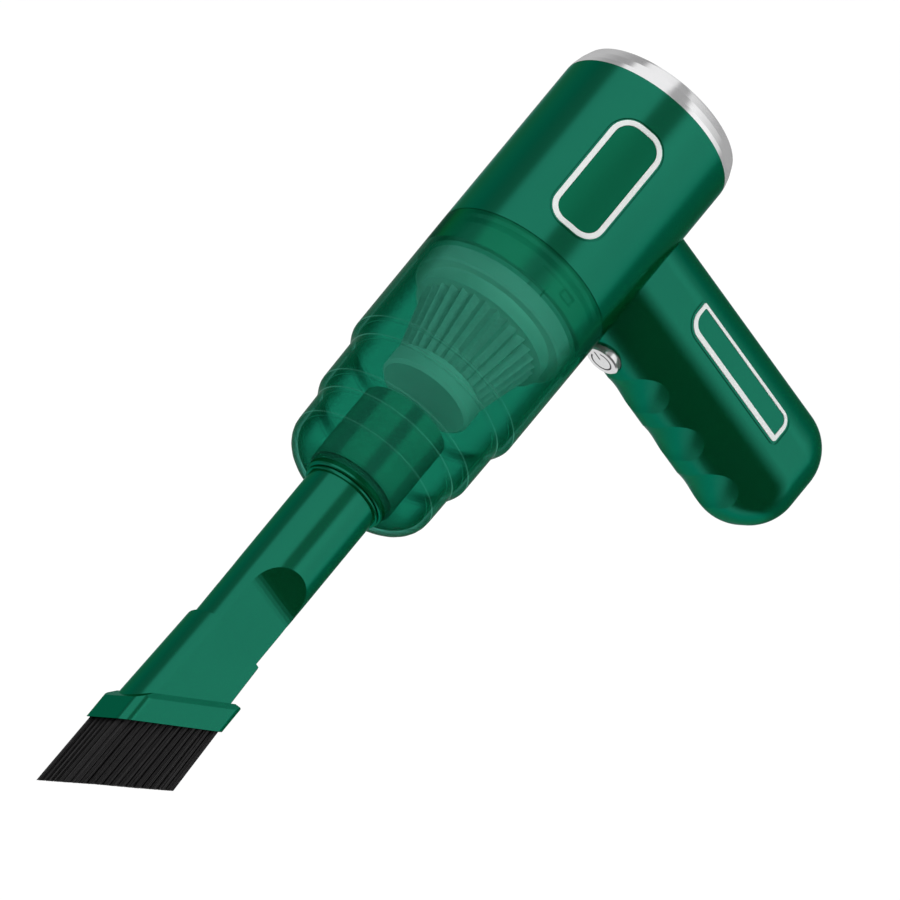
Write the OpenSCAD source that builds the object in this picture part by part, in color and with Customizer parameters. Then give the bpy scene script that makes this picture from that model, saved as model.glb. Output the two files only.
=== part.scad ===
// Handheld car vacuum cleaner: motor barrel on a pistol grip, twist-off dust cup with filter,
// push-in crevice nozzle and slip-on brush.
// Millimetres. X runs forward along the barrel axis, Y to the left, Z up.
// Sizes are counted from the rear rim and the barrel axis. The pieces are then moved so that the
// origin lies under the middle of the part, level with the end of the handle.

/* [Barrel] */
// Outer radius of the barrel
barrel_r = 32.5; // [32.2:0.1:33.2]
// Length of the green barrel
barrel_len = 70; // [69:1:74]
// Wall of the barrel
barrel_wall = 2.4; // [2.3:0.1:2.6]
// Length of the chrome rear ring
ring_len = 8; // [7.5:0.5:9]
// How much the ring narrows towards the rear
ring_taper = 1.9; // [1.4:0.1:2.2]

/* [Side panels] */
// Length of the barrel panel over its trim
panel_len = 46.2; // [44:0.2:50]
// Width of the barrel panel over its trim
panel_w = 20.2; // [18:0.2:21]
// Radius of the barrel panel's corners
panel_round = 7.6; // [6:0.2:8.4]
// Width of the silver panel trim
panel_trim_w = 2; // [1.6:0.1:2.6]
// Angle of the panel above the side of the barrel
panel_up = 29; // [20:1:34]

/* [Handle] */
// Distance of the handle's centre line from the rear rim
handle_x = 46.6; // [46:0.1:47.4]
// Depth of the handle front to back
handle_depth = 46.8; // [46:0.2:48]
// Width of the handle side to side
handle_w = 39; // [38.6:0.2:41]
// Share of the handle's half width that its corners and its round end take
handle_round = 0.92; // [0.86:0.01:0.95]
// Distance of the handle's lower end below the barrel axis
handle_drop = 131; // [130:0.5:136]
// Wall of the handle
handle_wall = 2.2; // [2:0.1:2.4]
// Depth of each finger dent
dent_depth = 0.9; // [0.7:0.1:1.3]
// Spacing of the finger dents
dent_pitch = 21.8; // [20:0.2:22]
// Length of the handle inlay over its trim
inlay_len = 54.4; // [50:0.2:56]
// Width of the handle inlay over its trim
inlay_w = 10.4; // [9.6:0.2:11]
// Width of the silver inlay trim
inlay_trim_w = 1.6; // [1.4:0.1:1.8]
// Radius of the round front top corner of the inlay
inlay_round = 6; // [4:0.5:7]

/* [Power button] */
// Radius of the button
button_r = 6.2; // [5.8:0.1:6.4]
// How far the button stands out of the handle
button_proud = 2; // [1.8:0.1:2.6]
// Distance of the button's middle below the underside of the barrel
button_drop = 10.9; // [10.6:0.1:12]

/* [Dust cup] */
// Wall of the dust cup
cup_wall = 2.1; // [1.9:0.1:2.2]
// Length of the first, widest cup section
cup_len_1 = 50.4; // [48:0.2:53]
// Step from the first cup section in to the second
cup_step_1 = 2.65; // [2.3:0.05:3.1]
// Length of the second cup section
cup_len_2 = 15.6; // [13:0.2:17]
// Step from the second cup section in to the third
cup_step_2 = 2.45; // [2:0.05:2.9]
// Length of the third cup section
cup_len_3 = 10.4; // [10:0.2:13]
// Length of each shoulder between two cup sections
shoulder_len = 6.6; // [6:0.1:8]
// Length of the rounded cup nose
nose_len = 10; // [9:0.2:11]
// Twist that frees the cup from the barrel
twist_deg = 20; // [16:1:24]

/* [Filter] */
// Number of filter pleats
pleats = 30; // [24:1:36]
// Length of the pleated filter
pleat_len = 23.6; // [20:0.4:25.6]

/* [Fan] */
// Number of impeller blades
blades = 9; // [7:1:11]
// Radius of the impeller
impeller_r = 25; // [22:0.5:26]
// Radius of the motor
motor_r = 18; // [17:0.5:18.5]

/* [Nozzle] */
// Radius of the nozzle tube
nozzle_r = 13.3; // [13.1:0.1:13.6]
// Length of the nozzle
nozzle_len = 135.8; // [134:0.2:136.4]
// Depth of the nozzle in the inlet tube
plug_len = 25.4; // [23:0.1:26]
// Length of the round part of the nozzle
nozzle_round = 63; // [60:0.5:66]
// Half thickness of the flat part of the nozzle
nozzle_flat = 8; // [7.6:0.1:8.4]
// Wall of the nozzle
nozzle_wall = 1.7; // [1.5:0.1:1.8]

/* [Brush] */
// Length of the brush sleeve's upper edge
sleeve_len = 52.4; // [52:0.1:54]
// Width of the flared band across the nozzle
band_w = 34; // [33.8:0.1:35]
// Thickness of the flared band
band_t = 21.6; // [21:0.1:22]
// Length of the flared band
band_len = 10; // [9:0.5:10.5]
// Length of the ramp behind the band
band_ramp = 2.5; // [2:0.5:4]
// Slant of the brush front
brush_slant = 39.5; // [37:0.5:40]
// Length of the bristles in the middle
bristle_len = 28.5; // [24:0.5:32]
// How much longer each millimetre higher makes the bristles
bristle_trim = 0.11; // [0:0.01:0.15]
// Thickness radius of one bristle
bristle_r = 0.24; // [0.18:0.01:0.24]

/* [Hidden] */
$fn = 72;
fit = 0.05;
gap = 0.3;
eps = 0.01;

// Stations along the barrel axis
barrel_x0 = ring_len;
barrel_x1 = ring_len + barrel_len;
barrel_in = barrel_r - barrel_wall;
fit_r = barrel_in - fit;
panel_x = barrel_x0 + 37.6;

// Rear ring and grille
ring_in = barrel_r - 5.3;
grille_x0 = 3.1;
grille_t = 2.5;
ledge_x = grille_x0 + grille_t;
ledge_in = ring_in - 2.6;
tongue_len = 5;

// Motor and fan
cap_x = 15;
cap_t = 3;
motor_x0 = cap_x + cap_t;
motor_len = 38;
motor_x1 = motor_x0 + motor_len;
can_in = motor_r - 1.6;
magnet_in = can_in - 2;
mount_t = 4;
impeller_x = motor_x1 + mount_t + 2;
disc_t = 1.6;
blade_h = 7.4;
shroud_x0 = impeller_x + disc_t + blade_h + 0.6;
shroud_t = 2.4;
shroud_x1 = shroud_x0 + shroud_t;
eye_r = 11.5;
shaft_r = 1.6;
shaft_x0 = cap_x + 1;
shaft_x1 = shroud_x0 - 0.4;
hub_r = 5;

// Collar, seal and bayonet
spigot_r = barrel_r - cup_wall - 0.5;
spigot_in = spigot_r - 3.4;
spigot_x1 = barrel_x1 + 14;
seal_x = barrel_x1 + 1.6;
seal_w = 2.2;
seal_in = spigot_r - 1;
lug_x = barrel_x1 + 5.6;
lug_len = 3;
lug_in = spigot_r - 1.2;
lug_deg = 10;
slot_in = lug_in - 0.4;
slot_play_deg = 1;

// Dust cup stations
cup_x0 = barrel_x1 + gap;
cup_in = barrel_r - cup_wall;
cup_r2 = barrel_r - cup_step_1;
cup_r3 = cup_r2 - cup_step_2;
draft = 0.2;
sh1_x = barrel_x1 + cup_len_1;
sh2_x = sh1_x + shoulder_len + cup_len_2;
nose_x0 = sh2_x + shoulder_len + cup_len_3;
nose_x1 = nose_x0 + nose_len;
nose_rim = 16.5;
curve_n = 8;

// Inlet tube
lip_r = 15;
lip_x = nose_x1 + 2.2;
collar_r = 14.2;
collar_len = 1.2;
tube_r = 16;
tube_in = nozzle_r + gap;
tube_x0 = lip_x - 34.7;
nozzle_x0 = lip_x - plug_len;
stop_x = nozzle_x0 - 0.4;
stop_r = 11.8;
oring_w = 2.2;
oring_x = nose_x1 - cup_wall - 5;
oring_in = nozzle_r + fit;
oring_out = tube_in + 0.9;

// Filter
flange_x1 = spigot_x1 + 6;
neck_x1 = flange_x1 + 5;
media_x1 = neck_x1 + pleat_len;
filter_cap_len = 7.4;
flange_r = spigot_r - 0.9;
neck_r = spigot_r - 5.1;
media_r0 = neck_r - 2.2;
media_r1 = media_r0 - 6.2;
media_in = 3.6;
cap_r = media_r1 + 0.7;
pleat_depth = 2.6;

// Handle
top_z = -19;
handle_corner = handle_round * handle_w / 2;
corner_z = -handle_drop + handle_corner;
handle_front = handle_x + handle_depth / 2;
skin_t = 1;
proud = 0.25;
seam_out = 0.8;
seam_w = 0.35;
inlay_x = handle_x - 3.4;
inlay_z = -75.4;
inlay_shift = 0.4;
dent_top_z = -61.5;
dent_ring = 27;
dent_tube = 30;

// Power button
button_z = -barrel_r - button_drop;
button_x1 = handle_front + button_proud;
wall_x = handle_front - handle_wall;
flange_t = 1.3;
rim_r = button_r + 1.1;
inner_corner = handle_corner - handle_wall;
rim_side = rim_r - handle_w / 2 + handle_corner;
flange_front = wall_x - 2 * gap - inner_corner + sqrt(inner_corner ^ 2 - rim_side ^ 2);
press = 1.2;
symbol_t = 0.3;
symbol_r = 3.8;
symbol_w = 0.6;

// Handle inside
port_w = 9;
port_t = 3.2;
port_depth = 7.3;
port_z = -handle_drop + 0.6;
board_t = 1.2;
board_z = port_z + 2.6;
board_top = port_z + 13;
board_half = 9.9;
cell_r = 9.15;
cell_len = 50;
cell_pitch = 18.7;
link_t = 0.3;
plate_t = 2;
holder_gap = 2.75;
cell_bottom = board_top + holder_gap + plate_t + link_t;
cell_top = cell_bottom + cell_len;
bracket_x0 = handle_x - handle_depth / 2 + 7;
bracket_screws = [handle_x - 12, handle_x + 5];
bracket_x1 = flange_front - 8.3;
bracket_z = -barrel_r - 13.5;
leg_z = cell_top + link_t + plate_t + fit;
leg_out = handle_w / 2 - handle_wall - 2.6;
leg_in = leg_out - 7.7;
screw_z = leg_z + 5;
screw_len = 6.4;
seat_y = leg_out + 1.5;
head_r = 2.6;
barrel_seat = sqrt(barrel_in ^ 2 - head_r ^ 2);
barrel_screw_len = 11;
wire_x = handle_x - 4.3;
switch_x = bracket_x1 + board_t;
switch_h = 2.6;

// Nozzle and brush
nozzle_x1 = nozzle_x0 + nozzle_len;
nozzle_draft = 0.2;
ramp_x = nozzle_x0 + nozzle_round;
ramp_len = 13;
ramp_depth = nozzle_r - nozzle_flat;
ramp_r = (ramp_len ^ 2 + ramp_depth ^ 2) / (2 * ramp_depth);
ramp_n = 14;
tip_flat = 4.4;
nozzle_slant = 45;
sleeve_lap = 42.2;
sleeve_x0 = nozzle_x1 - sleeve_lap;
sleeve_x1 = sleeve_x0 + sleeve_len;
sleeve_wall = 1.2;
band_corner = 4;
backing_t = 2.2;
rim_t = 0.8;
mouth_w = band_w - 9.4;
mouth_t = band_t - 9.4;
tuft_r = 0.9;
tuft_core_r = 0.32;
tuft_core_n = 3;
tuft_edge_n = 7;
row_y = band_t / 2 - rim_t - tuft_r - 0.5;
row_z = band_w / 2 - rim_t - tuft_r - 0.5;
tip_z = row_z + tuft_r * sin(360 * 2 / tuft_edge_n);
overall_len = front_x(tip_z) + bristle_reach(tip_z);

green = [0.03, 0.36, 0.25];
dark_green = [0.02, 0.28, 0.18];
clear_green = [0.2, 0.5, 0.42, 0.45];
silver = [0.85, 0.86, 0.86];
chrome = [0.78, 0.78, 0.8];
black = [0.06, 0.06, 0.06];
steel = [0.6, 0.61, 0.63];
white = [0.92, 0.92, 0.9];
board_green = [0.05, 0.3, 0.15];
copper = [0.75, 0.45, 0.25];

// Moves a piece from the barrel's own axes to the part's origin
module place() {
    translate([-overall_len / 2, 0, handle_drop])
        children();
}

// Revolves a list of [radius, x] points about the barrel axis
module spin(points) {
    rotate([0, 90, 0])
        rotate_extrude()
            polygon(points);
}

// Revolves [radius, x] points over an angle counted from below towards the left
module sector(points, from, sweep) {
    rotate([from, 0, 0])
        rotate([0, 90, 0])
            rotate_extrude(angle = sweep)
                polygon(points);
}

// Ring about the barrel axis
module ring(r_out, r_in, x0, x1) {
    spin([[r_in, x0], [r_out, x0], [r_out, x1], [r_in, x1]]);
}

// Rod along X
module rod(r, x0, x1) {
    translate([x0, 0, 0])
        rotate([0, 90, 0])
            cylinder(r = r, h = x1 - x0);
}

// Prism across the width from a side outline of [x, z] points
module side_prism(points, width) {
    rotate([90, 0, 0])
        linear_extrude(height = width, center = true)
            polygon(points);
}

// Prism through the height from a top outline of [x, y] points
module top_prism(points, height) {
    linear_extrude(height = height, center = true)
        polygon(points);
}

// Box between two corners
module box(low, high) {
    translate(low)
        cube(high - low);
}

// Outline of a slot with round ends, along its first axis
function slot_outline(len, w, n = 12) = concat(
    [for (i = [0:n]) [len / 2 - w / 2 + w / 2 * sin(180 * i / n), -w / 2 * cos(180 * i / n)]],
    [for (i = [0:n]) [w / 2 - len / 2 - w / 2 * sin(180 * i / n), w / 2 * cos(180 * i / n)]]
);

// Outline of a rectangle with round corners
function round_outline(len, w, r) = concat(
    corner(len / 2, w / 2, 0, r), corner(-len / 2, w / 2, 90, r),
    corner(-len / 2, -w / 2, 180, r), corner(len / 2, -w / 2, 270, r)
);

// Outline of the grip inlay in [x, z], drawn inset by t: its front top and rear bottom corners are round
function inlay_outline(t) =
    let (w = inlay_w / 2 - t, h = inlay_len / 2 - t)
    concat(
        corner(w, h, 0, max(inlay_round - t, 0.5)), corner(-w, h, 90, 0.5),
        corner(-w, -h, 180, max(inlay_round - 1.5 - t, 0.5)), corner(w, -h, 270, max(1.3 - t, 0.3))
    );

// Quarter round of radius r that ends in the corner at [x, z], from an angle on
function corner(x, z, from, r, n = 8) = [
    for (i = [0:n])
        let (a = from + 90 * i / n)
        [x - sign(x) * r + r * cos(a), z - sign(z) * r + r * sin(a)]
];

// Smooth shoulder from one radius and station to the next
function shoulder(r0, x0, r1, x1) = [
    for (i = [0:curve_n])
        [r1 + (r0 - r1) * (1 + cos(180 * i / curve_n)) / 2, x0 + (x1 - x0) * i / curve_n]
];

// Quarter round from the cup side to the cup nose
function nose(r, depth) = [
    for (i = [0:curve_n])
        [nose_rim + (r - nose_rim) * cos(90 * i / curve_n), nose_x0 + depth * sin(90 * i / curve_n)]
];

function reversed(list) = [for (i = [len(list) - 1:-1:0]) list[i]];

// Cup wall from the rear rim to the nose, drawn inset by t
function cup_path(t) = concat(
    [[barrel_r - t, cup_x0]],
    shoulder(barrel_r - draft - t, sh1_x, cup_r2 - t, sh1_x + shoulder_len),
    shoulder(cup_r2 - draft - t, sh2_x, cup_r3 - t, sh2_x + shoulder_len),
    nose(cup_r3 - draft - t, nose_len - t)
);

// Prism of the panel outline, inset by t, that points out of the barrel flank
module flank_prism(t, side) {
    translate([panel_x, 0, 0])
        rotate([side * panel_up, 0, 0])
            rotate([-side * 90, 0, 0])
                linear_extrude(height = barrel_r + 5)
                    polygon(round_outline(panel_len - 2 * t, panel_w - 2 * t, panel_round - t));
}

module barrel_shell() {
    seam_in = seam_out - seam_w;
    place() color(green)
        difference() {
            ring(barrel_r, barrel_in, barrel_x0, barrel_x1);
            for (side = [-1, 1]) {
                intersection() {
                    flank_prism(0, side);
                    ring(barrel_r + 3, barrel_r - skin_t, barrel_x0, barrel_x1);
                }
                intersection() {
                    difference() {
                        flank_prism(-seam_out, side);
                        flank_prism(-seam_in, side);
                    }
                    ring(barrel_r + 3, barrel_r - seam_w, barrel_x0, barrel_x1);
                }
            }
            for (x = bracket_screws)
                translate([x, 0, -barrel_r - 2])
                    cylinder(r = 1.6, h = 8);
            box([wire_x - 4, -6.5, -barrel_r - 2], [wire_x + 4, 6.5, -barrel_in + 8]);
        }
}

module rear_ring() {
    rear_r = barrel_r - ring_taper;
    place() color(chrome)
        spin([
            [ring_in, 0], [rear_r - 0.9, 0], [rear_r - 0.3, 0.25], [rear_r, 0.9],
            [rear_r + ring_taper * 0.55, ring_len * 0.45], [rear_r + ring_taper * 0.9, ring_len * 0.78],
            [barrel_r, ring_len], [fit_r, ring_len], [fit_r, ring_len + tongue_len],
            [fit_r - 2, ring_len + tongue_len], [fit_r - 2, ledge_x + 1.6], [ledge_in, ledge_x + 1.6],
            [ledge_in, ledge_x], [ring_in, ledge_x]
        ]);
}

module rear_grille() {
    r = ring_in - fit;
    x1 = grille_x0 + grille_t;
    bar = 2.2;
    bands = [[6, 11.4], [13.2, 18.4], [20.4, r - 2.6]];
    place() color(black)
        difference() {
            rod(r, grille_x0, x1);
            difference() {
                for (band = bands)
                    ring(band[1], band[0], grille_x0 - 1, x1 + 1);
                for (i = [0:2])
                    rotate([i * 60, 0, 0])
                        box([grille_x0 - 2, -bar / 2, -r], [x1 + 2, bar / 2, r]);
            }
        }
}

module front_collar() {
    place() color(dark_green)
        difference() {
            spin([
                [spigot_in, shroud_x1], [fit_r, shroud_x1], [fit_r, barrel_x1], [spigot_r, barrel_x1],
                [spigot_r, seal_x], [seal_in, seal_x], [seal_in, seal_x + seal_w],
                [spigot_r, seal_x + seal_w], [spigot_r, spigot_x1 - 0.6], [spigot_r - 0.6, spigot_x1],
                [spigot_in, spigot_x1]
            ]);
            for (side = [90, 270])
                bayonet_slot(side - lug_deg / 2 - slot_play_deg);
        }
}

// L-shaped slot: a run round the spigot and a slightly deeper way in from its front edge
module bayonet_slot(from) {
    low = lug_x - 0.4;
    high = lug_x + lug_len + 0.4;
    way = lug_deg + 2 * slot_play_deg;
    out = spigot_r + 1;
    deep = slot_in - 0.1;
    far = spigot_x1 + 1;
    sector([[slot_in, low], [out, low], [out, high], [slot_in, high]], from, twist_deg + way - 0.5);
    sector([[deep, low + 1], [out, low + 1], [out, far], [deep, far]], from + twist_deg, way);
}

module cup_seal() {
    x0 = seal_x + fit;
    x1 = seal_x + seal_w - fit;
    place() color(black)
        spin([
            [seal_in, x0], [spigot_r, x0], [spigot_r + 0.15, x0 + 0.5],
            [spigot_r + 0.15, x1 - 0.5], [spigot_r, x1], [seal_in, x1]
        ]);
}

module barrel_panel(side) {
    place() color(green)
        intersection() {
            flank_prism(panel_trim_w, side);
            ring(barrel_r, barrel_r - skin_t, barrel_x0, barrel_x1);
        }
}

module barrel_trim(side) {
    inner = panel_trim_w - fit;
    place() color(silver)
        intersection() {
            difference() {
                flank_prism(fit, side);
                flank_prism(inner, side);
            }
            ring(barrel_r + proud, barrel_r - skin_t, barrel_x0, barrel_x1);
        }
}

module barrel_panel_left() { barrel_panel(1); }
module barrel_panel_right() { barrel_panel(-1); }
module barrel_trim_left() { barrel_trim(1); }
module barrel_trim_right() { barrel_trim(-1); }

module motor_can() {
    bore = shaft_r + fit;
    front = motor_x1 - 2;
    place() color(steel)
        spin([
            [can_in, motor_x0], [motor_r, motor_x0], [motor_r, motor_x1 - 1.5],
            [motor_r - 1.5, motor_x1], [6.5, motor_x1], [6.5, motor_x1 + 2],
            [bore, motor_x1 + 2], [bore, front - 3], [6.5, front - 3], [6.5, front], [can_in, front]
        ]);
}

module motor_magnets() {
    x0 = motor_x0 + 3;
    x1 = motor_x1 - 7;
    place() color(black)
        for (from = [12, 192])
            sector([[magnet_in, x0], [can_in - fit, x0], [can_in - fit, x1], [magnet_in, x1]], from, 156);
}

module motor_armature() {
    x0 = motor_x0 + 4;
    x1 = motor_x1 - 8;
    slots = 5;
    place() color(copper)
        difference() {
            ring(magnet_in - 0.7, shaft_r, x0, x1);
            for (i = [0:slots - 1])
                rotate([i * 360 / slots, 0, 0])
                    box([x0 - 1, -1, 8], [x1 + 1, 1, magnet_in]);
        }
}

module motor_end_cap() {
    place() color(black)
        spin([
            [0, cap_x], [motor_r - 1, cap_x], [motor_r - 0.5, cap_x + 0.5], [motor_r - 0.5, motor_x0],
            [shaft_r + fit, motor_x0], [shaft_r + fit, shaft_x0 - 0.4], [0, shaft_x0 - 0.4]
        ]);
}

module motor_terminals() {
    place() color(copper)
        for (side = [-1, 1])
            box([cap_x - 4, side * 3.5 - 1.6, -10.4], [cap_x, side * 3.5 + 1.6, -9.6]);
}

module motor_leads() {
    r = 0.9;
    low = -25;
    place() color([0.6, 0.08, 0.06])
        for (side = [-1, 1])
            translate([0, side * 3.5, 0])
                union() {
                    translate([cap_x - 2.6, 0, low])
                        cylinder(r = r, h = -10.4 - low);
                    translate([cap_x - 2.6, 0, low])
                        sphere(r = r);
                    translate([cap_x - 2.6, 0, low])
                        rotate([0, 90, 0])
                            cylinder(r = r, h = wire_x - cap_x + 2.6);
                    translate([wire_x, 0, low])
                        sphere(r = r);
                    translate([wire_x, 0, cell_top + link_t + plate_t])
                        cylinder(r = r, h = low - cell_top - link_t - plate_t);
                }
}

module motor_mount_front() {
    place() color(black)
        difference() {
            union() {
                ring(fit_r, fit_r - 2.4, motor_x1, motor_x1 + mount_t);
                ring(motor_r - 1.5, 6.5 + fit, motor_x1, motor_x1 + mount_t - 1.4);
                for (i = [0:8])
                    rotate([i * 40, 0, 0])
                        box([motor_x1, -0.9, motor_r - 3], [motor_x1 + mount_t - 1.4, 0.9, fit_r - 1]);
            }
            for (i = [0:3])
                rotate([i * 90, 0, 0])
                    translate([motor_x1 - 1, 0, 11.5])
                        rotate([0, 90, 0])
                            cylinder(r = 1.5, h = mount_t + 2);
        }
}

module motor_mount_rear() {
    x0 = motor_x0 + 2;
    x1 = x0 + 8;
    place() color(black)
        union() {
            ring(motor_r + 2, motor_r + fit, x0, x1);
            for (a = [0, 120, 240])
                rotate([a, 0, 0])
                    box([x0, -3, motor_r + 1], [x1, 3, fit_r - 0.3]);
        }
}

module fan_shroud() {
    place() color(black)
        spin([
            [eye_r, shroud_x0], [fit_r, shroud_x0], [fit_r, shroud_x1], [eye_r + 3, shroud_x1],
            [eye_r + 1.6, shroud_x1 + 0.8], [eye_r + 1.2, shroud_x1 + 2.4], [eye_r, shroud_x1 + 2.4]
        ]);
}

module motor_shaft() {
    place() color(steel)
        rod(shaft_r, shaft_x0, shaft_x1);
}

module impeller() {
    place() color(white)
        difference() {
            union() {
                rod(impeller_r, impeller_x, impeller_x + disc_t);
                spin([
                    [0, impeller_x], [hub_r + 2, impeller_x], [hub_r + 1, impeller_x + 4],
                    [hub_r, impeller_x + 7], [0, impeller_x + 7]
                ]);
                for (i = [0:blades - 1])
                    rotate([i * 360 / blades, 0, 0])
                        translate([impeller_x + 0.5, 0, hub_r + 4.4])
                            rotate([-36, 0, 0])
                                box([0, -0.5, 0], [disc_t + blade_h - 0.5, 0.5, impeller_r - hub_r - 6.6]);
            }
            rod(shaft_r, impeller_x - 1, shaft_x1 + 2);
        }
}

// Handle body as a rounded box with a domed end, drawn inset by t
module handle_form(t) {
    r = handle_corner - t;
    dx = handle_depth / 2 - handle_corner;
    dy = handle_w / 2 - handle_corner;
    translate([handle_x, 0, 0]) {
        box([-dx - r, -dy, corner_z], [dx + r, dy, top_z]);
        box([-dx, -dy - r, corner_z], [dx, dy + r, top_z]);
        box([-dx, -dy, corner_z - r], [dx, dy, corner_z + 1]);
        for (sx = [-1, 1])
            for (sy = [-1, 1])
                translate([sx * dx, sy * dy, corner_z]) {
                    sphere(r = r);
                    cylinder(r = r, h = top_z - corner_z);
                }
        for (sy = [-1, 1])
            translate([-dx, sy * dy, corner_z])
                rotate([0, 90, 0])
                    cylinder(r = r, h = 2 * dx);
        for (sx = [-1, 1])
            translate([sx * dx, dy, corner_z])
                rotate([90, 0, 0])
                    cylinder(r = r, h = 2 * dy);
    }
}

// Prism of the inlay outline, inset by t, that stands on the handle flank at distance y
module grip_prism(t, side, y, back = 0) {
    mirror([0, 1 - side, 0])
        translate([inlay_x - back, y, inlay_z])
            rotate([90, 0, 180])
                linear_extrude(height = 8)
                    mirror([1, 0, 0])
                        polygon(inlay_outline(t));
}

module handle_shell() {
    place() color(green)
        difference() {
            union() {
                difference() {
                    handle_form(0);
                    handle_form(handle_wall);
                }
                for (side = [-1, 1])
                    translate([inlay_x, side * leg_out, screw_z])
                        rotate([-side * 90, 0, 0])
                            cylinder(r = 4.4, h = handle_w / 2 - leg_out - 1.2, $fn = 32);
                for (sx = [-1, 1])
                    board_rib(sx);
                for (sx = [-1, 1])
                    for (sy = [-1, 1])
                        post(sx, sy);
            }
            rod(barrel_r, 0, 110);
            for (i = [0:2])
                finger_dent(dent_top_z - i * dent_pitch);
            for (side = [-1, 1]) {
                grip_prism(0, side, handle_w / 2 - skin_t);
                difference() {
                    grip_prism(-seam_out - seam_w, side, handle_w / 2 - seam_w);
                    grip_prism(-seam_out, side, handle_w / 2 - skin_t);
                }
                translate([inlay_x, 0, screw_z])
                    rotate([-side * 90, 0, 0])
                        cylinder(r = 1.5, h = handle_w, $fn = 32);
                translate([inlay_x, side * seat_y, screw_z])
                    rotate([-side * 90, 0, 0])
                        cylinder(r = 2.5, h = 6, $fn = 32);
            }
            translate([0, 0, button_z])
                rod(button_r + gap, handle_front - 8, handle_front + 8);
            translate([handle_x, 0, -handle_drop - 1])
                linear_extrude(height = 8)
                    polygon(slot_outline(port_w + 0.6, port_t + 0.6));
        }
}

// Shallow finger dent that follows the front of the handle
module finger_dent(z) {
    translate([handle_front - dent_depth - dent_ring, 0, z])
        rotate([0, 0, -45])
            rotate_extrude(angle = 90, $fn = 144)
                translate([dent_ring + dent_tube, 0])
                    circle(r = dent_tube, $fn = 144);
}

// Rib that holds one end of the charge board
module board_rib(sx) {
    x = handle_x + sx * 11.2;
    intersection() {
        handle_form(handle_wall - 0.4);
        box([x - 1.2, -3, -handle_drop], [x + 1.2, 5, board_top + 0.4]);
    }
}

// Post that carries the cell holder
module post(sx, sy) {
    intersection() {
        handle_form(handle_wall - 0.4);
        translate([handle_x + sx * 12, sy * 7, -handle_drop])
            cylinder(r = 2.4, h = handle_drop + cell_bottom - link_t - plate_t, $fn = 24);
    }
}

// Slab as wide as the handle, grown by t
module handle_slab(t) {
    out = handle_w / 2 + t;
    box([0, -out, -handle_drop], [2 * handle_x, out, 0]);
}

module handle_inlay(side) {
    place() color(green)
        intersection() {
            grip_prism(inlay_trim_w, side, handle_w / 2 - skin_t, inlay_shift);
            handle_slab(0);
        }
}

module handle_trim(side) {
    inner = inlay_trim_w - fit;
    place() color(silver)
        intersection() {
            difference() {
                grip_prism(fit, side, handle_w / 2 - skin_t);
                grip_prism(inner, side, handle_w / 2 - skin_t - 1, inlay_shift);
            }
            handle_slab(proud);
        }
}

module handle_inlay_left() { handle_inlay(1); }
module handle_inlay_right() { handle_inlay(-1); }
module handle_trim_left() { handle_trim(1); }
module handle_trim_right() { handle_trim(-1); }

module handle_bracket() {
    half = handle_w / 2 - handle_corner + 9;
    place() color(black)
        difference() {
            union() {
                box([bracket_x0, -half, bracket_z], [bracket_x1, half, -barrel_r + 6]);
                for (side = [-1, 1])
                    box([inlay_x - 5, min(side * leg_in, side * leg_out), leg_z],
                        [inlay_x + 5, max(side * leg_in, side * leg_out), bracket_z + 4]);
            }
            rod(barrel_r, 0, 110);
            box([wire_x - 4, -6.5, leg_z - 1], [wire_x + 4, 6.5, 0]);
            for (x = bracket_screws)
                translate([x, 0, -barrel_seat - barrel_screw_len])
                    cylinder(r = 1.25, h = 2 * barrel_screw_len);
            for (side = [-1, 1])
                translate([inlay_x, side * (seat_y - screw_len), screw_z])
                    rotate([-side * 90, 0, 0])
                        cylinder(r = 1.1, h = 2 * screw_len);
        }
}

module handle_screws() {
    place() color(steel)
        for (side = [-1, 1])
            translate([inlay_x, side * seat_y, screw_z])
                rotate([-side * 90, 0, 0])
                    difference() {
                        union() {
                            cylinder(r = 2.2, h = 1.4);
                            translate([0, 0, -screw_len])
                                cylinder(r = 1.1, h = screw_len + 0.1);
                        }
                        translate([-1.5, -0.3, 0.8])
                            cube([3, 0.6, 2]);
                    }
}

module barrel_screws() {
    place() color(steel)
        for (x = bracket_screws)
            translate([x, 0, -barrel_seat])
                difference() {
                    union() {
                        cylinder(r = head_r, h = 1.8);
                        translate([0, 0, -barrel_screw_len])
                            cylinder(r = 1.25, h = barrel_screw_len + 0.1);
                    }
                    translate([-1.8, -0.35, 1.1])
                        cube([3.6, 0.7, 2]);
                }
}

module power_button() {
    place() color(chrome)
        translate([0, 0, button_z])
            difference() {
                union() {
                    spin([
                        [0, flange_front - flange_t], [rim_r, flange_front - flange_t],
                        [rim_r, flange_front], [button_r, flange_front],
                        [button_r, button_x1 - 0.5], [button_r - 0.5, button_x1], [0, button_x1]
                    ]);
                    rod(1.4, flange_front - flange_t - 1, flange_front);
                }
                symbol(button_x1 - symbol_t, button_x1 + 1, 0);
            }
}

// Power symbol: an open ring with a stroke at its gap
module symbol(x0, x1, t) {
    r0 = symbol_r - symbol_w / 2 + t;
    r1 = symbol_r + symbol_w / 2 - t;
    sector([[r0, x0], [r1, x0], [r1, x1], [r0, x1]], 180 + 32, 296);
    box([x0, t - symbol_w / 2, 0.8 + t], [x1, symbol_w / 2 - t, symbol_r + 0.6 - t]);
}

module button_symbol() {
    place() color(black)
        translate([0, 0, button_z])
            symbol(button_x1 - symbol_t, button_x1 - 0.05, 0.02);
}

module switch_board() {
    place() color(board_green)
        box([bracket_x1, -8, button_z - 5], [bracket_x1 + board_t, 8, button_z + 6]);
}

module button_switch() {
    place() color(black)
        translate([0, 0, button_z])
            union() {
                box([switch_x, -2.3, -2.3], [switch_x + switch_h, 2.3, 2.3]);
                rod(1.2, switch_x + 1, flange_front - flange_t - 1 - press - 0.4);
            }
}

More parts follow.
